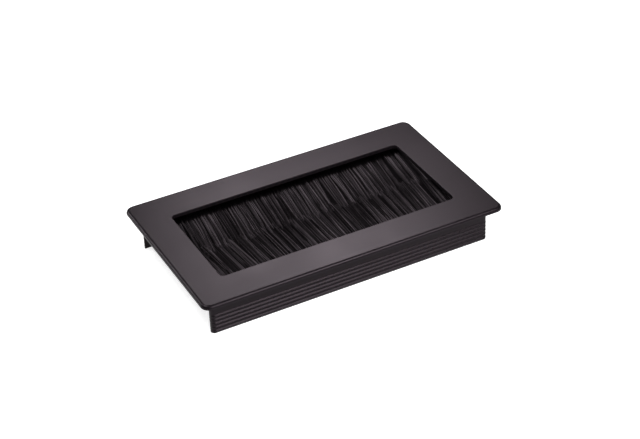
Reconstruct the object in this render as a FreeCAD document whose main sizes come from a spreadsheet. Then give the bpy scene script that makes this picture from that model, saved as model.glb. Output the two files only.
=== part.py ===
import FreeCAD, Part
import math
import os

import Sketcher

# Brush cable grommet: a one-piece moulded frame that is pushed into a rectangular cut-out in a desk or
# floor panel, and two strip brushes that slide into rails under its flange and close the cable window.
# Millimetres, +Z up. The origin lies under the middle of the flange, level with the feet of the skirts.

doc = FreeCAD.newDocument("brush_cable_grommet")
sheet = doc.addObject("Spreadsheet::Sheet", "Sizes")

DRIVING_SIZES = {
    # flange: the flat plate that covers the edge of the cut-out
    "flange_length": 170.0,
    "flange_width": 101.0,
    "flange_thickness": 2.1,
    "flange_corner": 4.8,
    "flange_edge_round": 1.7,
    "end_border": 18.2,
    "side_border": 19.9,
    "window_corner": 2.5,
    "window_edge_round": 0.3,
    # skirts: the two walls under the long sides that grip the cut-out
    "end_overhang": 6.0,
    "side_overhang": 7.35,
    "skirt_height": 20.3,
    "skirt_wall": 2.4,
    "skirt_corner": 1.8,
    # ribs: the grip ridges that run along each skirt and fade out round its ends
    "rib_count": 5,
    "rib_pitch": 2.28,
    "rib_base": 1.2,
    "rib_depth": 0.5,
    "rib_land": 0.4,
    "rib_slope": 0.6,
    # rails: the hooked slots inside the skirts that hold the strip brushes
    "rail_inset": 2.0,
    "rail_roof": 1.1,
    "rail_floor": 1.5,
    "hook_wall": 0.9,
    "hook_height": 0.9,
    "slide_clearance": 0.2,
    # strip brush: a folded metal channel, a core wire and two layers of bristle tufts
    "channel_height": 4.4,
    "channel_depth": 5.0,
    "channel_wall": 0.6,
    "channel_bend": 0.9,
    "wire_diameter": 1.2,
    "seat_clearance": 0.05,
    "tuft_inset": 0.5,
    "tuft_pitch": 1.8,
    "tuft_gap": 0.1,
    "tip_gap": 0.7,
    "tip_thickness": 1.1,
    "tip_ragged": 1.8,
    "brush_lap": 1.5,
    "brush_clearance": 0.3,
    "front_fan": 0.045,
    "rear_lean": 4.0,
}

for row, (alias, number) in enumerate(DRIVING_SIZES.items(), start=1):
    sheet.set(f"A{row}", alias)
    sheet.set(f"B{row}", str(number))
    sheet.setAlias(f"B{row}", alias)
doc.recompute()


class Size:
    """A length as a number and as the sheet expression that gives it, so that both follow one sum."""

    def __init__(self, number, text):
        self.number = number
        self.text = text

    def __add__(self, other):
        return Size(self.number + other.number, f"({self.text} + {other.text})")

    def __sub__(self, other):
        return Size(self.number - other.number, f"({self.text} - {other.text})")

    def __mul__(self, factor):
        return Size(self.number * factor, f"({self.text} * {factor})")

    def __neg__(self):
        return self * -1

    def half(self):
        return Size(self.number / 2, f"({self.text} / 2)")


def size(alias):
    return Size(float(sheet.get(alias)), f"{sheet.Name}.{alias}")


# Heights and places that several pieces share
window_length = size("flange_length") - size("end_border") * 2
window_width = size("flange_width") - size("side_border") * 2
skirt_length = size("flange_length") - size("end_overhang") * 2
skirt_face = size("flange_width").half() - size("side_overhang")
skirt_inside = skirt_face - size("skirt_wall")
slot_height = size("channel_height") + size("slide_clearance") * 2
slot_top = size("skirt_height") - size("rail_roof")
slot_bottom = slot_top - slot_height
strip_level = slot_top - slot_height.half()
channel_back = skirt_inside - size("slide_clearance")
channel_mouth = channel_back - size("channel_depth")
hook_inside = channel_mouth - size("slide_clearance")
rail_front = hook_inside - size("hook_wall")
strip_middle = channel_back - size("channel_depth").half()
strip_length = skirt_length - size("rail_inset") * 2


def sketch_on(body, name, role, level=None):
    """A sketch on one of the body's own origin planes, lifted off it by level."""
    sketch = body.newObject("Sketcher::SketchObject", name)
    plane = next(f for f in body.Origin.OriginFeatures if f.Role == role)
    sketch.AttachmentSupport = [(plane, "")]
    sketch.MapMode = "FlatFace"
    if level is not None:
        sketch.setExpression("AttachmentOffset.Base.z", level.text)
    return sketch


def add_loop(sketch, corners):
    """A closed loop of level and upright lines, drawn anticlockwise.

    Each corner is (x, y, radius), with a radius of None where two lines meet square. Every line is bound
    to its distance from the origin, and every rounded corner to its radius.
    """
    points = [FreeCAD.Vector(x.number, y.number, 0) for x, y, _ in corners]
    radii = [r.number if r else 0.0 for _, _, r in corners]
    count = len(corners)
    ways = [(points[(i + 1) % count] - points[i]).normalize() for i in range(count)]
    starts = [points[i] + ways[i] * radii[i] for i in range(count)]
    ends = [points[(i + 1) % count] - ways[i] * radii[(i + 1) % count] for i in range(count)]
    lines = [sketch.addGeometry(Part.LineSegment(a, b)) for a, b in zip(starts, ends)]

    def bind(kind, *places, length):
        index = sketch.addConstraint(Sketcher.Constraint(kind, *places, length.number))
        sketch.setExpression(f"Constraints[{index}]", length.text)

    for i, (x, y, radius) in enumerate(corners):
        before, after = lines[i - 1], lines[i]
        if radius:
            centre = points[i] + (ways[i] - ways[i - 1]) * radii[i]
            middle = centre + (points[i] - centre).normalize() * radii[i]
            arc = sketch.addGeometry(Part.Arc(ends[i - 1], middle, starts[i]))
            sketch.addConstraint(Sketcher.Constraint("Tangent", before, 2, arc, 1))
            sketch.addConstraint(Sketcher.Constraint("Tangent", arc, 2, after, 1))
            bind("Radius", arc, length=radius)
        else:
            sketch.addConstraint(Sketcher.Constraint("Coincident", before, 2, after, 1))
        if abs(ways[i].x) > abs(ways[i].y):
            sketch.addConstraint(Sketcher.Constraint("Horizontal", after))
            bind("DistanceY", -1, 1, after, 1, length=y)
        else:
            sketch.addConstraint(Sketcher.Constraint("Vertical", after))
            bind("DistanceX", -1, 1, after, 1, length=x)


def mirrored(corners):
    """The same loop on the other side of the sketch's upright axis or level axis, still anticlockwise."""
    return [(x, -y, r) for x, y, r in reversed(corners)]


def flipped(corners):
    return [(-x, y, r) for x, y, r in reversed(corners)]


def rectangle(length, width, radius):
    x, y = length.half(), width.half()
    return [(-x, -y, radius), (x, -y, radius), (x, y, radius), (-x, y, radius)]


def pad(body, name, sketch, length, symmetric=False):
    feature = body.newObject("PartDesign::Pad", name)
    feature.Profile = sketch
    feature.setExpression("Length", length.text)
    if symmetric:
        feature.SideType = "Symmetric"
    return feature


def round_edges(body, name, base, radius, wanted):
    """Rounds the edges of the base feature that wanted picks by their middle point."""
    doc.recompute()
    chosen = [f"Edge{n}" for n, edge in enumerate(base.Shape.Edges, start=1) if wanted(edge)]
    feature = body.newObject("PartDesign::Fillet", name)
    feature.Base = (base, chosen)
    feature.setExpression("Radius", radius.text)
    return feature


# Frame: flange, ribbed skirts and brush rails, moulded in one piece
frame = doc.addObject("PartDesign::Body", "frame")

flange_outline = sketch_on(frame, "flange_outline", "XY_Plane", size("skirt_height"))
add_loop(flange_outline, rectangle(size("flange_length"), size("flange_width"), size("flange_corner")))
add_loop(flange_outline, rectangle(window_length, window_width, size("window_corner")))
flange = pad(frame, "flange", flange_outline, size("flange_thickness"))

flange_top = size("skirt_height") + size("flange_thickness")
window_x = window_length.half()
window_y = window_width.half()
NEAR = 1e-4


def on_top(edge):
    return abs(edge.BoundBox.ZMin - flange_top.number) < NEAR and edge.BoundBox.ZLength < NEAR


def round_the_window(edge):
    middle = edge.CenterOfMass
    inside_x = abs(middle.x) < window_x.number + NEAR
    inside_y = abs(middle.y) < window_y.number + NEAR
    return on_top(edge) and inside_x and inside_y


def round_the_flange(edge):
    return on_top(edge) and not round_the_window(edge)


outer_edge = round_edges(frame, "outer_edge", flange, size("flange_edge_round"), round_the_flange)
window_edge = round_edges(frame, "window_edge", outer_edge, size("window_edge_round"), round_the_window)

skirt_end = skirt_length.half()
front_skirt = [
    (-skirt_end, -skirt_face, size("skirt_corner")),
    (skirt_end, -skirt_face, size("skirt_corner")),
    (skirt_end, -skirt_inside, None),
    (-skirt_end, -skirt_inside, None),
]
skirt_outline = sketch_on(frame, "skirt_outline", "XY_Plane")
add_loop(skirt_outline, front_skirt)
add_loop(skirt_outline, mirrored(front_skirt))
pad(frame, "skirts", skirt_outline, size("skirt_height"))

# A rib's outline shares the skirt's end planes and has a larger corner, so the rib fades out round the end
rib_face = skirt_face + size("rib_depth")
rib_corner = size("skirt_corner") + size("rib_depth")
front_rib = [
    (-skirt_end, -rib_face, rib_corner),
    (skirt_end, -rib_face, rib_corner),
    (skirt_end, -skirt_inside, None),
    (-skirt_end, -skirt_inside, None),
]


def rib_outline(name, level):
    sketch = sketch_on(frame, name, "XY_Plane", level)
    add_loop(sketch, front_rib)
    add_loop(sketch, mirrored(front_rib))
    return sketch


rib_taper = f"-atan({size('rib_depth').text} / {size('rib_slope').text})"
land_middle = rib_outline("rib_land_outline", size("rib_base"))
land_top = rib_outline("rib_upper_outline", size("rib_base") + size("rib_land").half())
land_foot = rib_outline("rib_lower_outline", size("rib_base") - size("rib_land").half())
rib_land = pad(frame, "rib_land", land_middle, size("rib_land"), symmetric=True)
rib_upper = pad(frame, "rib_upper", land_top, size("rib_slope"))
rib_upper.setExpression("TaperAngle", rib_taper)
rib_lower = pad(frame, "rib_lower", land_foot, size("rib_slope"))
rib_lower.setExpression("TaperAngle", rib_taper)
rib_lower.Reversed = True

ribs = frame.newObject("PartDesign::LinearPattern", "ribs")
ribs.Originals = [rib_land, rib_upper, rib_lower]
upright = next(f for f in frame.Origin.OriginFeatures if f.Role == "Z_Axis")
ribs.Direction = (upright, [""])
ribs.setExpression("Length", f"{size('rib_pitch').text} * ({size('rib_count').text} - 1)")
ribs.setExpression("Occurrences", size("rib_count").text)
frame.Tip = ribs

# Each rail is an upper and a lower hook that close a slot against the skirt's inner face
hook_top_foot = slot_top - size("hook_height")
rear_upper_hook = [
    (rail_front, hook_top_foot, None),
    (hook_inside, hook_top_foot, None),
    (hook_inside, slot_top, None),
    (skirt_inside, slot_top, None),
    (skirt_inside, size("skirt_height"), None),
    (rail_front, size("skirt_height"), None),
]
rear_lower_hook = [
    (rail_front, slot_bottom - size("rail_floor"), None),
    (skirt_inside, slot_bottom - size("rail_floor"), None),
    (skirt_inside, slot_bottom, None),
    (hook_inside, slot_bottom, None),
    (hook_inside, slot_bottom + size("hook_height"), None),
    (rail_front, slot_bottom + size("hook_height"), None),
]
rail_section = sketch_on(frame, "rail_section", "YZ_Plane")
for hook in (rear_upper_hook, rear_lower_hook):
    add_loop(rail_section, hook)
    add_loop(rail_section, flipped(hook))
rails = pad(frame, "rails", rail_section, strip_length, symmetric=True)
frame.Tip = rails


# Strip brushes: in a strip's own frame the bristles point along +Y and the channel is centred on the origin
channel_x = size("channel_depth").half()
channel_z = size("channel_height").half()
inner_z = channel_z - size("channel_wall")
inner_back = size("channel_wall") - channel_x
wire_radius = size("wire_diameter").half()
wire_middle = inner_back + wire_radius + size("seat_clearance")


def place_strip(piece, side):
    """Seats a piece of a strip in its rail: side is -1 at the front and 1 at the rear, turned half round."""
    turn = 180 if side > 0 else 0
    piece.Placement = FreeCAD.Placement(
        FreeCAD.Vector(0, side * strip_middle.number, strip_level.number),
        FreeCAD.Rotation(FreeCAD.Vector(0, 0, 1), turn),
    )
    piece.setExpression("Placement.Base.y", (strip_middle * side).text)
    piece.setExpression("Placement.Base.z", strip_level.text)


def folded_channel(name, side):
    """The strip's sheet-metal channel, folded to a U that is open towards the bristles."""
    body = doc.addObject("PartDesign::Body", name)
    section = sketch_on(body, f"{name}_section", "YZ_Plane")
    bend = size("channel_bend")
    corners = [
        (-channel_x, -channel_z, bend),
        (channel_x, -channel_z, None),
        (channel_x, -inner_z, None),
        (inner_back, -inner_z, None),
        (inner_back, inner_z, None),
        (channel_x, inner_z, None),
        (channel_x, channel_z, None),
        (-channel_x, channel_z, bend),
    ]
    add_loop(section, corners)
    pad(body, f"{name}_fold", section, strip_length, symmetric=True)
    place_strip(body, side)
    return body


def core_wire(name, side):
    """The round wire that lies along the back of the channel, between the two layers of tufts."""
    wire = doc.addObject("Part::Cylinder", name)
    wire.setExpression("Radius", wire_radius.text)
    wire.setExpression("Height", strip_length.text)
    wire.Placement = FreeCAD.Placement(FreeCAD.Vector(), FreeCAD.Rotation(FreeCAD.Vector(0, 1, 0), 90))
    wire.setExpression("Placement.Base.x", (-strip_length.half()).text)
    wire.setExpression("Placement.Base.y", ((strip_middle - wire_middle) * side).text)
    wire.setExpression("Placement.Base.z", strip_level.text)
    return wire


# Tufts: bundles of filaments in an upper and a lower layer, gripped in the channel and thinning to the tip.
# Where the rows meet they lap: the front row's upper layer runs over the rear row's lower layer.
tuft_seat = size("seat_clearance").number
tuft_root = inner_back.number + tuft_seat
tuft_mouth = channel_x.number
wire_side = wire_radius.number + tuft_seat
wire_end = wire_middle.number + wire_radius.number
root_thickness = inner_z.number - tuft_seat
mouth_thickness = slot_height.number / 2 - size("hook_height").number - 2 * tuft_seat
long_reach = strip_middle.number + size("brush_lap").number
short_reach = strip_middle.number - size("brush_lap").number - size("brush_clearance").number
SWAYS = ((23, 0.55, 0.4), (9, 0.35, 1.9))
GOLDEN = (math.sqrt(5) - 1) / 2


def tuft_sway(place, phase):
    """How far a tip drifts sideways: slow waves along the row, so that tips gather and part.

    The steepest step from one tuft to the next stays under the gap between two tips.
    """
    free = size("tip_gap").number
    drift = 0.0
    for period, share, start in SWAYS:
        turn = 2 * math.pi / period
        drift += share * free / turn * math.sin(turn * place + start + phase)
    return drift


def tuft(middle, drift, tip, layer):
    """One tuft: a flat-sided bundle from the back of the channel to its tip.

    The section is drawn in the upright plane along the bristles. Both flanks are planes that lean with the
    tip's drift and close in on each other towards it.
    """
    section = [
        (tuft_root, layer * wire_side),
        (wire_end, layer * wire_side),
        (tuft_mouth, layer * tuft_seat / 2),
        (tip, layer * tuft_seat / 2),
        (tip, layer * size("tip_thickness").number),
        (tuft_mouth, layer * mouth_thickness),
        (tuft_root, layer * root_thickness),
    ]
    root_half = (size("tuft_pitch").number - size("tuft_gap").number) / 2
    tip_half = (size("tuft_pitch").number - size("tip_gap").number) / 2

    def flank(side):
        shares = [(y - tuft_root) / (tip - tuft_root) for y, _ in section]
        offsets = [drift * s + side * (root_half + (tip_half - root_half) * s) for s in shares]
        return [FreeCAD.Vector(middle + x, y, z) for x, (y, z) in zip(offsets, section)]

    left, right = flank(-1), flank(1)
    outlines = [left, right]
    for n in range(len(section)):
        outlines.append([left[n - 1], left[n], right[n], right[n - 1]])
    faces = [Part.Face(Part.makePolygon(outline + outline[:1])) for outline in outlines]
    solid = Part.Solid(Part.Shell(faces))
    if solid.Volume < 0:
        solid.reverse()
    return solid


def bristle_row(name, side, long_layer, lean=0.0, fan=0.0):
    """Both layers of a strip's tufts, the lower one half a step along, with ragged tips.

    The tips lean to the left by lean, and spread or close up by the share fan of their place along the row.
    """
    pitch = size("tuft_pitch").number
    row_length = strip_length.number - 2 * size("tuft_inset").number
    count = int((row_length - pitch / 2) // pitch)
    tufts = []
    for layer in (UPPER, LOWER):
        reach = long_reach if layer == long_layer else short_reach
        for i in range(count):
            middle = (i - (count - 1) / 2 + layer / 4) * pitch
            drift = side * lean + fan * middle + tuft_sway(i, layer + side)
            ragged = (i * GOLDEN % 1) * size("tip_ragged").number
            tufts.append(tuft(middle, drift, reach - ragged, layer))
    row = doc.addObject("Part::Feature", name)
    row.Shape = Part.Compound(tufts)
    place_strip(row, side)
    return row


FRONT, REAR = -1, 1
UPPER, LOWER = 1, -1
pieces = [
    frame,
    folded_channel("front_channel", FRONT),
    core_wire("front_core_wire", FRONT),
    bristle_row("front_bristles", FRONT, UPPER, fan=size("front_fan").number),
    folded_channel("rear_channel", REAR),
    core_wire("rear_core_wire", REAR),
    bristle_row("rear_bristles", REAR, LOWER, lean=size("rear_lean").number),
]
doc.recompute()

for item in doc.Objects:
    if "Invalid" in item.State or "Error" in item.State:
        raise RuntimeError(f"{item.Label} failed to build: {item.State}")
for piece in pieces:
    if piece.Shape.isNull() or not piece.Shape.isValid():
        raise RuntimeError(f"{piece.Label} has no valid shape")

os.makedirs("parts", exist_ok=True)
for piece in pieces:
    piece.Shape.exportStep(f"parts/{piece.Label}.step")
    box = piece.Shape.BoundBox
    print(
        f"{piece.Label}: {len(piece.Shape.Solids)} solids, {piece.Shape.Volume:.1f} mm3, "
        f"x {box.XMin:.2f} to {box.XMax:.2f}, y {box.YMin:.2f} to {box.YMax:.2f}, z {box.ZMin:.2f} to {box.ZMax:.2f}"
    )
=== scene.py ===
import bpy
import numpy as np
from mathutils import Matrix, Vector


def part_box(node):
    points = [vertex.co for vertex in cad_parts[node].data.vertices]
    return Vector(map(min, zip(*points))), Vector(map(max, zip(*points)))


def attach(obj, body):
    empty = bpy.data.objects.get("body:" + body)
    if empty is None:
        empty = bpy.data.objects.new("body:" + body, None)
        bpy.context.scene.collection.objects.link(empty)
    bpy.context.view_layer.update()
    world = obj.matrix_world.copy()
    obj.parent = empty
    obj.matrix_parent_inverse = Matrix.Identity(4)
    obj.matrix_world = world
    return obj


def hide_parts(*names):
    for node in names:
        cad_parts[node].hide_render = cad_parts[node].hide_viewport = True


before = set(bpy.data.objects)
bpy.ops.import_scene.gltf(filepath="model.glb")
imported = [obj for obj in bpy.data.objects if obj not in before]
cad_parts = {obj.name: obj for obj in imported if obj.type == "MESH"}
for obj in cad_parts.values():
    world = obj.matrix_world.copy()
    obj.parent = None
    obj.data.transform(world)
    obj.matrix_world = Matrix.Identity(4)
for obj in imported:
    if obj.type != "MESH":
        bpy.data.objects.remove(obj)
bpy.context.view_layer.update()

# Frame
# The flange, the two ribbed skirts and the brush rails are one injection moulding in black ABS. The mould is
# spark-eroded to a fine satin, and the panel cut-out grips the ribs when the frame is pushed home.
MM = 0.001
ABS_BLACK = (0.0060, 0.0046, 0.0056)
ABS_WORN = (0.0074, 0.0058, 0.0069)
ABS_ROUGHNESS = (0.31, 0.36)
ABS_SPECULAR = 0.12
ABS_TINT = (1.0, 0.82, 0.93, 1)
DRIFT_GRAIN = 38 * MM
PEBBLE_GRAIN = 0.35 * MM
PEBBLE_HEIGHT = 0.02 * MM
PEBBLE_STRENGTH = 0.06
NOISE_LOW, NOISE_HIGH = 0.35, 0.65


def new_material(name):
    """A node material with its Principled shader, ready to be wired."""
    material = bpy.data.materials.new(name)
    material.use_nodes = True
    tree = material.node_tree
    return material, tree.nodes, tree.links, tree.nodes["Principled BSDF"]


def object_place(nodes):
    """The Object texture coordinate, in metres."""
    return nodes.new("ShaderNodeTexCoord").outputs["Object"]


def noise_at(nodes, links, place, grain, detail):
    """Three-dimensional noise whose lumps are about grain metres across."""
    noise = nodes.new("ShaderNodeTexNoise")
    noise.inputs["Scale"].default_value = 1 / grain
    noise.inputs["Detail"].default_value = detail
    links.new(place, noise.inputs["Vector"])
    return noise.outputs["Fac"]


def ramp_between(nodes, links, fac, low, high):
    """A colour that runs from low to high over the middle of a noise's range."""
    ramp = nodes.new("ShaderNodeValToRGB")
    ends = ramp.color_ramp.elements
    ends[0].position, ends[1].position = NOISE_LOW, NOISE_HIGH
    ends[0].color, ends[1].color = (*low, 1), (*high, 1)
    links.new(fac, ramp.inputs["Fac"])
    return ramp.outputs["Color"]


def range_between(nodes, links, fac, low, high):
    """A number that runs from low to high over the middle of a noise's range."""
    spread = nodes.new("ShaderNodeMapRange")
    spread.inputs["From Min"].default_value = NOISE_LOW
    spread.inputs["From Max"].default_value = NOISE_HIGH
    spread.inputs["To Min"].default_value = low
    spread.inputs["To Max"].default_value = high
    links.new(fac, spread.inputs["Value"])
    return spread.outputs["Result"]


def satin_abs():
    """Black plastic off a spark-eroded tool: a fine pebble in the normal and a slow drift in gloss and tone."""
    material, nodes, links, shader = new_material("satin_black_abs")
    place = object_place(nodes)
    drift = noise_at(nodes, links, place, DRIFT_GRAIN, 2)
    links.new(ramp_between(nodes, links, drift, ABS_BLACK, ABS_WORN), shader.inputs["Base Color"])
    links.new(range_between(nodes, links, drift, *ABS_ROUGHNESS), shader.inputs["Roughness"])
    shader.inputs["Specular IOR Level"].default_value = ABS_SPECULAR
    shader.inputs["Specular Tint"].default_value = ABS_TINT
    pebble = nodes.new("ShaderNodeBump")
    pebble.inputs["Strength"].default_value = PEBBLE_STRENGTH
    pebble.inputs["Distance"].default_value = PEBBLE_HEIGHT
    links.new(noise_at(nodes, links, place, PEBBLE_GRAIN, 1), pebble.inputs["Height"])
    links.new(pebble.outputs["Normal"], shader.inputs["Normal"])
    return material


def dress(piece, material):
    """Gives a piece one material."""
    piece.data.materials.clear()
    piece.data.materials.append(material)


dress(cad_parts["frame"], satin_abs())

# Strip channels
# Each brush strip is held by a channel folded from galvanised steel strip, slid endways into its rail. Only the
# cut ends show, from the open ends of the frame.
ZINC_DULL = (0.34, 0.35, 0.36)
ZINC_BRIGHT = (0.52, 0.53, 0.54)
ZINC_ROUGHNESS = (0.36, 0.52)
ZINC_CRYSTAL = 2.5 * MM


def galvanised_steel():
    """Zinc-coated sheet: a grey metal whose tone and gloss change from one crystal of zinc to the next."""
    material, nodes, links, shader = new_material("galvanised_steel")
    crystals = nodes.new("ShaderNodeTexVoronoi")
    crystals.inputs["Scale"].default_value = 1 / ZINC_CRYSTAL
    links.new(object_place(nodes), crystals.inputs["Vector"])
    tone = nodes.new("ShaderNodeSeparateColor")
    links.new(crystals.outputs["Color"], tone.inputs["Color"])
    colour = ramp_between(nodes, links, tone.outputs["Red"], ZINC_DULL, ZINC_BRIGHT)
    links.new(colour, shader.inputs["Base Color"])
    links.new(range_between(nodes, links, tone.outputs["Green"], *ZINC_ROUGHNESS), shader.inputs["Roughness"])
    shader.inputs["Metallic"].default_value = 1.0
    return material


zinc = galvanised_steel()
for name in ("front_channel", "rear_channel"):
    dress(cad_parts[name], zinc)

# Core wires
# A drawn steel wire runs along the back of each channel, with the bristles folded round it, and keeps them from
# pulling out of the fold.
WIRE_GREY = (0.46, 0.46, 0.47)
WIRE_DARK = (0.36, 0.36, 0.37)
WIRE_ROUGHNESS = (0.28, 0.4)
DIE_LINE = 0.15 * MM
DIE_LINE_STRETCH = (0.02, 1, 1)


def drawn_wire():
    """Bright drawn wire: fine die lines stretched along the wire's length."""
    material, nodes, links, shader = new_material("drawn_wire")
    stretch = nodes.new("ShaderNodeMapping")
    stretch.inputs["Scale"].default_value = DIE_LINE_STRETCH
    links.new(object_place(nodes), stretch.inputs["Vector"])
    lines = noise_at(nodes, links, stretch.outputs["Vector"], DIE_LINE, 1)
    links.new(ramp_between(nodes, links, lines, WIRE_DARK, WIRE_GREY), shader.inputs["Base Color"])
    links.new(range_between(nodes, links, lines, *WIRE_ROUGHNESS), shader.inputs["Roughness"])
    shader.inputs["Metallic"].default_value = 1.0
    return material


wire = drawn_wire()
for name in ("front_core_wire", "rear_core_wire"):
    dress(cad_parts[name], wire)

# Bristles
# Each strip holds a dense row of black nylon filaments, folded over the core wire. They gather in fine strands and
# in locks above a closed mat. The front row fans out, the rear row leans to the left, and the tips mesh in
# mid-window. A strand's three layers are called bundles here, and a single filament a hair.
FILAMENTS = 5200
FILAMENT_RADIUS = 0.125 * MM
TIP_THINNING = 0.8
SIDES = 3
# Rings along a filament, from the channel's mouth at 0 to the tip at 1, and how pale it is there. The roots are
# painted black, a painted shade under the window's rim, and the ring just past them is painted paler, a painted
# highlight where the light reaches the bristles.
STATION = np.array([-0.06, 0.18, 0.225, 0.48, 0.75, 0.985, 1.0])
STATION_TONE_AND_PAINTED_LIGHT = np.array([0.0, 0.0, 1.5, 1.2, 0.95, 0.85, 0.85])
STATIONS = len(STATION)
GOLDEN = 0.618034
END_GAP = 0.6 * MM
MEETING_LINE = 0.7 * MM
HALF_HEIGHT = 1.38 * MM
HEIGHT_LOSS = 0.15 * MM
# Depth in the row runs from -1 to 1. Filaments under MAT_FROM lie flat at MAT_DEPTH.
MAT_FROM, MAT_DEPTH = -0.45, -0.95
TOP_SHIFT = 0.2
LAYERS = 3
LOCK_WIDTH, LOCK_CROWN = 1.7 * MM, 0.8 * MM
STRAND_WIDTH, STRAND_CROWN = 0.62 * MM, 0.35 * MM
GROUP_JITTER = 0.35
LOCK_PULL = (0.4, 0.7)
STRAND_PULL = 0.62
LOCK_SWING, BUNDLE_SWING, HAIR_SWING = 0.6 * MM, 0.3 * MM, 0.12 * MM
LOCK_LIFT, BUNDLE_LIFT = 0.15 * MM, 0.08 * MM
LOCK_REACH, LOCK_REACH_SPREAD = 2.4 * MM, 0.9 * MM
HAIR_REACH_LOSS, BUNDLE_REACH_SPREAD, MAT_REACH = 1.4 * MM, 0.7 * MM, 2.0 * MM
LEAN_FADE, LEAST_LEAN = 10 * MM, 0.1
SWEEP = 1.15
WEAVE_ALONG, WEAVE_UP = 0.1 * MM, 0.14 * MM
# Shares of the tone, and the two shape numbers of the beta distribution that each is drawn from.
LOCK_TONE, LOCK_BETA = 0.12, (0.5, 0.8)
BUNDLE_TONE, BUNDLE_BETA = 0.63, (0.3, 0.6)
HAIR_TONE, HAIR_BETA = 0.25, (0.4, 0.6)
TONE_CHANGE = (0.5, 1.4)
# The tone falls with depth in the row to this share in the mat: painted shade under the upper filaments.
MAT_PAINTED_SHADE = 0.01
NYLON_DEEP = (0.0020, 0.0017, 0.0019)
NYLON_PALE = (0.122, 0.105, 0.116)
NYLON_ROUGHNESS = (0.9, 0.4)
NYLON_SPECULAR = 0.07
NYLON_TINT = (1.0, 0.80, 0.93, 1)


def grouped(along, width, rng):
    """Splits a row into uneven groups about width wide: each filament's group number and the groups' middles."""
    low, high = along.min(), along.max()
    count = int((high - low) / width)
    middles = np.sort(np.linspace(low, high, count) + rng.uniform(-GROUP_JITTER, GROUP_JITTER, count) * width)
    return np.abs(along[:, None] - middles[None, :]).argmin(1), middles


def filament_paths(channel, side, lean, fan, grey, seed):
    """Centre lines of one row, as an array of filaments by stations by xyz, and a tone from 0 to 1 at each station.

    Along y a filament goes from the channel to its tip near the meeting line. Out is 0 at the channel's mouth and 1
    at the tip, and share is the distance from the mouth over that from the mouth to the meeting line. Along x it
    moves by a power of share times the row's fan and lean, and towards the middles of its strand and of its lock.
    The lean dies out towards the row's right-hand end. The height is the filament's depth in the row, from -1 to 1,
    times half the row's height, and a parabola across each strand and each lock gives both a crown. The lowest
    filaments lie flat and evenly spread, as a mat with no hole. Each bundle weaves a little. The tone adds up those
    of the lock, the bundle and the hair and changes along the length. Shade and light are painted into it: it is
    nothing at the root, a painted shade under the window's rim, higher just past the root as a painted highlight,
    and falls with depth to almost nothing in the mat, a painted shade under the upper filaments.
    """
    rng = np.random.default_rng(seed)
    low, high = (np.array(v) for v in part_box(channel))
    level = (low[2] + high[2]) / 2
    mouth = high[1] if side < 0 else low[1]
    root = (low[1] + high[1]) / 2
    number = np.arange(FILAMENTS)
    run = high[0] - low[0] - 2 * END_GAP
    x0 = low[0] + END_GAP + run * (number + rng.uniform(0, 1, FILAMENTS)) / FILAMENTS
    depth = 2 * (number * GOLDEN % 1) - 1
    depth = np.where(depth < MAT_FROM, MAT_DEPTH, depth)
    top = np.clip(TOP_SHIFT + depth, 0, 1)
    above_mat = (top > 0)[:, None]

    lock, locks = grouped(x0, LOCK_WIDTH, rng)
    strand, strands = grouped(x0, STRAND_WIDTH, rng)
    bundle = strand + len(strands) * np.floor((LAYERS - 0.1) * top).astype(int)
    bundles = LAYERS * len(strands)
    to_lock, to_strand = locks[lock] - x0, strands[strand] - x0
    pull = rng.uniform(*LOCK_PULL, len(locks))[lock]
    swing = rng.normal(0, LOCK_SWING, len(locks))[lock] + rng.normal(0, BUNDLE_SWING, bundles)[bundle]
    swing += rng.normal(0, HAIR_SWING, FILAMENTS)
    lift = rng.normal(0, LOCK_LIFT, len(locks))[lock] + rng.normal(0, BUNDLE_LIFT, bundles)[bundle]
    reach = rng.normal(LOCK_REACH, LOCK_REACH_SPREAD, len(locks))[lock]
    reach -= np.abs(rng.normal(0, HAIR_REACH_LOSS, FILAMENTS))
    reach += rng.normal(0, BUNDLE_REACH_SPREAD, bundles)[bundle]

    tip = MEETING_LINE - side * (reach + MAT_REACH * (1 - top))
    out = np.clip(STATION, 0, 1)[None, :]
    growing = 0.5 + 0.5 * out
    y = np.where(STATION < 0, root, mouth + (tip - mouth)[:, None] * out)
    share = np.abs(np.where(STATION < 0, 0, y - mouth) / (mouth - MEETING_LINE))
    gather = (to_lock * pull)[:, None] * growing + swing[:, None] * out + STRAND_PULL * to_strand[:, None]
    lean = lean * np.clip((x0.max() - x0) / LEAN_FADE, LEAST_LEAN, 1)
    x = x0[:, None] + (fan * x0 - lean)[:, None] * share ** SWEEP + gather * above_mat
    crown = LOCK_CROWN * (2 * to_lock / LOCK_WIDTH) ** 2 + STRAND_CROWN * (2 * to_strand / STRAND_WIDTH) ** 2
    z = level + depth[:, None] * (HALF_HEIGHT - HEIGHT_LOSS * out) + ((lift - crown) * top)[:, None] * growing
    weave = rng.normal(0, 1, (bundles, 2, STATIONS))[bundle] * (out > 0) * above_mat[:, :, None]
    weave[:, :, -1] = weave[:, :, -2]
    x += WEAVE_ALONG * weave[:, 0]
    z += WEAVE_UP * weave[:, 1] * top[:, None]

    tone = LOCK_TONE * rng.beta(*LOCK_BETA, len(locks))[lock] + BUNDLE_TONE * rng.beta(*BUNDLE_BETA, bundles)[bundle]
    tone += HAIR_TONE * rng.beta(*HAIR_BETA, FILAMENTS)
    tone = tone[:, None] * rng.uniform(*TONE_CHANGE, (bundles, STATIONS))[bundle]
    # Painted shade and light: the tone falls with depth to almost nothing in the mat, is nothing at the roots and is
    # raised just past them.
    tone = tone * (MAT_PAINTED_SHADE + (1 - MAT_PAINTED_SHADE) * top ** 2)[:, None] * grey * STATION_TONE_AND_PAINTED_LIGHT
    return np.stack([x, y, z], -1), np.clip(tone, 0, 1)


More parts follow.
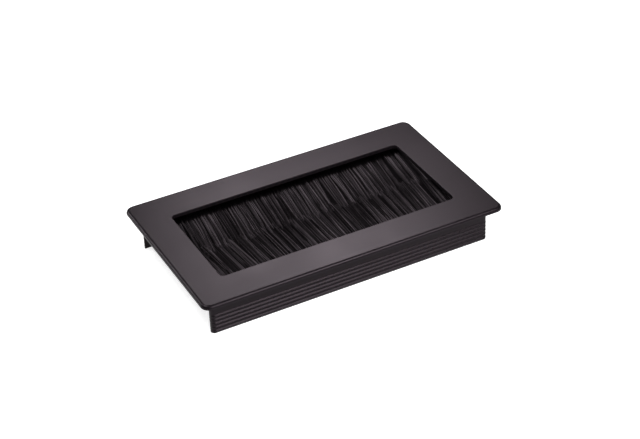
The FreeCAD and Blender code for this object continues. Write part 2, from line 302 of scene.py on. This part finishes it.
def filament_mesh(name, paths, shade):
    """Thin closed tubes: at each station a ring of points lies round the path, square to the row's run.

    The ring's radius thins a little to the tip. Quads join one ring to the next, and a triangle closes each end.
    """
    angle = 2 * np.pi * np.arange(SIDES) / SIDES + np.pi / 2
    ring = np.stack([np.cos(angle), 0 * angle, np.sin(angle)], -1)
    radius = FILAMENT_RADIUS * np.linspace(1.0, TIP_THINNING, STATIONS)
    points = paths[:, :, None, :] + radius[None, :, None, None] * ring[None, None, :, :]
    start = (np.arange(FILAMENTS) * STATIONS * SIDES)[:, None, None]
    station = (np.arange(STATIONS - 1) * SIDES)[None, :, None]
    corner = np.arange(SIDES)[None, None, :]
    following = (corner + 1) % SIDES
    a, b = start + station + corner, start + station + following
    quads = np.stack([a, b, b + SIDES, a + SIDES], -1).reshape(-1, 4)
    first = start[:, 0] + np.arange(SIDES)[None, ::-1]
    last = start[:, 0] + (STATIONS - 1) * SIDES + np.arange(SIDES)[None, :]
    mesh = bpy.data.meshes.new(name)
    faces = quads.tolist() + first.tolist() + last.tolist()
    mesh.from_pydata(points.reshape(-1, 3).tolist(), [], faces)
    tone = mesh.attributes.new("tone", "FLOAT", "POINT")
    tone.data.foreach_set("value", np.repeat(shade, SIDES).astype(np.float32))
    mesh.polygons.foreach_set("use_smooth", np.ones(len(faces), bool))
    return mesh


def nylon():
    """Extruded nylon filament: its tone, which carries the painted shade of the roots and the mat, sets how deep the
    black is, and the paler a filament, the glossier it is.
    """
    material, nodes, links, shader = new_material("black_nylon")
    tone = nodes.new("ShaderNodeAttribute")
    tone.attribute_name = "tone"
    mix = nodes.new("ShaderNodeValToRGB")
    mix.color_ramp.elements[0].color = (*NYLON_DEEP, 1)
    mix.color_ramp.elements[1].color = (*NYLON_PALE, 1)
    links.new(tone.outputs["Fac"], mix.inputs["Fac"])
    links.new(mix.outputs["Color"], shader.inputs["Base Color"])
    gloss = nodes.new("ShaderNodeMapRange")
    gloss.inputs["To Min"].default_value, gloss.inputs["To Max"].default_value = NYLON_ROUGHNESS
    links.new(tone.outputs["Fac"], gloss.inputs["Value"])
    links.new(gloss.outputs["Result"], shader.inputs["Roughness"])
    shader.inputs["Specular IOR Level"].default_value = NYLON_SPECULAR
    shader.inputs["Specular Tint"].default_value = NYLON_TINT
    return material


black_nylon = nylon()
for row, channel, side, lean, fan, grey, seed in (
    ("front_bristles", "front_channel", -1, 0.0, 0.055, 0.8, 3),
    ("rear_bristles", "rear_channel", 1, 4.0 * MM, 0.0, 1.0, 8),
):
    paths, shade = filament_paths(channel, side, lean, fan, grey, seed)
    mesh = filament_mesh(row.replace("bristles", "filaments"), paths, shade)
    filaments = bpy.data.objects.new(mesh.name, mesh)
    bpy.context.scene.collection.objects.link(filaments)
    dress(filaments, black_nylon)
    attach(filaments, "root")
    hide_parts(row)

# Floor
# A plain white sheet that the grommet stands on. It is lifted to paper white where the camera sees it, directly, in
# a reflection or through glass, and still takes the object's shadow.
FLOOR_WHITE = (0.55, 0.55, 0.55)
FLOOR_LIFT = 0.78
FLOOR_HALF = 3.0


def white_floor():
    """Matt white with some light of its own for the rays that show it as the background."""
    material, nodes, links, shader = new_material("white_sheet")
    shader.inputs["Base Color"].default_value = (*FLOOR_WHITE, 1)
    shader.inputs["Roughness"].default_value = 1.0
    shader.inputs["Specular IOR Level"].default_value = 0.0
    shader.inputs["Emission Color"].default_value = (1, 1, 1, 1)
    ray = nodes.new("ShaderNodeLightPath")
    seen = ray.outputs["Is Camera Ray"]
    for kind in ("Is Glossy Ray", "Is Transmission Ray"):
        either = nodes.new("ShaderNodeMath")
        either.operation = "MAXIMUM"
        links.new(seen, either.inputs[0])
        links.new(ray.outputs[kind], either.inputs[1])
        seen = either.outputs["Value"]
    lift = nodes.new("ShaderNodeMath")
    lift.operation = "MULTIPLY"
    lift.inputs[1].default_value = FLOOR_LIFT
    links.new(seen, lift.inputs[0])
    links.new(lift.outputs["Value"], shader.inputs["Emission Strength"])
    return material


floor_mesh = bpy.data.meshes.new("floor")
corners = [(x * FLOOR_HALF, y * FLOOR_HALF, 0) for x, y in ((-1, -1), (1, -1), (1, 1), (-1, 1))]
floor_mesh.from_pydata(corners, [], [(0, 1, 2, 3)])
floor_mesh.materials.append(white_floor())
floor = bpy.data.objects.new("floor", floor_mesh)
bpy.context.scene.collection.objects.link(floor)

# Light
# A dim even room. Two softboxes behind on the right, slightly rosy, are what the flange mirrors, and two in front
# light the ribs. One above and one behind on the left light the bristles.
ROOM_STRENGTH = 0.03
ROSY = (1, 0.94, 0.98)
world = bpy.data.worlds.new("studio")
bpy.context.scene.world = world
world.use_nodes = True
world.node_tree.nodes["Background"].inputs["Strength"].default_value = ROOM_STRENGTH


def softbox(name, place, aim, width, height, power, tint=(1, 1, 1)):
    """A rectangular area lamp of that size in metres and power in watts, turned to face the point aim."""
    lamp = bpy.data.lights.new(name, "AREA")
    lamp.shape = "RECTANGLE"
    lamp.size, lamp.size_y = width, height
    lamp.energy = power
    lamp.color = tint
    holder = bpy.data.objects.new(name, lamp)
    holder.location = place
    holder.rotation_euler = (Vector(aim) - Vector(place)).to_track_quat("-Z", "Y").to_euler()
    bpy.context.scene.collection.objects.link(holder)


softbox("back_softbox_near", (0.22, 0.34, 0.38), (0.22, 0.34, 0), 0.10, 0.12, 1.20, ROSY)
softbox("back_softbox_far", (0.15, 0.46, 0.38), (0.15, 0.46, 0), 0.10, 0.12, 0.92, ROSY)
softbox("front_softbox_high", (0.20, -0.39, 0.46), (0, 0, 0), 0.20, 0.15, 3.4)
softbox("front_softbox_low", (0.0, -0.55, 0.31), (0, 0, 0), 0.20, 0.15, 1.3)
softbox("top_softbox", (-0.24, 0.12, 0.50), (-0.03, 0, 0.02), 0.20, 0.15, 1.9)
softbox("left_softbox", (-0.40, 0.50, 0.30), (-0.04, 0, 0.02), 0.10, 0.12, 1.2)

# Camera
# Placed where the photograph was taken from: in front, to the left and above, with a short telephoto lens. It is
# turned round the upright axis, raised and rolled by three angles in degrees.
CAMERA_PLACE = (-0.32488, -0.66355, 0.52086)
CAMERA_ANGLES = (-26.350, 34.432, 2.677)
camera_data = bpy.data.cameras.new("camera")
camera_data.sensor_width = 36.0
camera_data.lens = 97.022
camera_data.clip_start, camera_data.clip_end = 0.05, 20
camera = bpy.data.objects.new("camera", camera_data)
swing, height, roll = np.radians(CAMERA_ANGLES)
back = np.array([np.sin(swing) * np.cos(height), -np.cos(swing) * np.cos(height), np.sin(height)])
right = np.cross(-back, [0, 0, 1])
right /= np.linalg.norm(right)
down = np.cross(-back, right)
axis_x = np.cos(roll) * right + np.sin(roll) * down
axis_y = np.sin(roll) * right - np.cos(roll) * down
turn = Matrix(np.stack([axis_x, axis_y, back], 1).tolist())
camera.matrix_world = Matrix.Translation(CAMERA_PLACE) @ turn.to_4x4()
bpy.context.scene.collection.objects.link(camera)
bpy.context.scene.camera = camera
bpy.context.scene.view_settings.view_transform = "Standard"
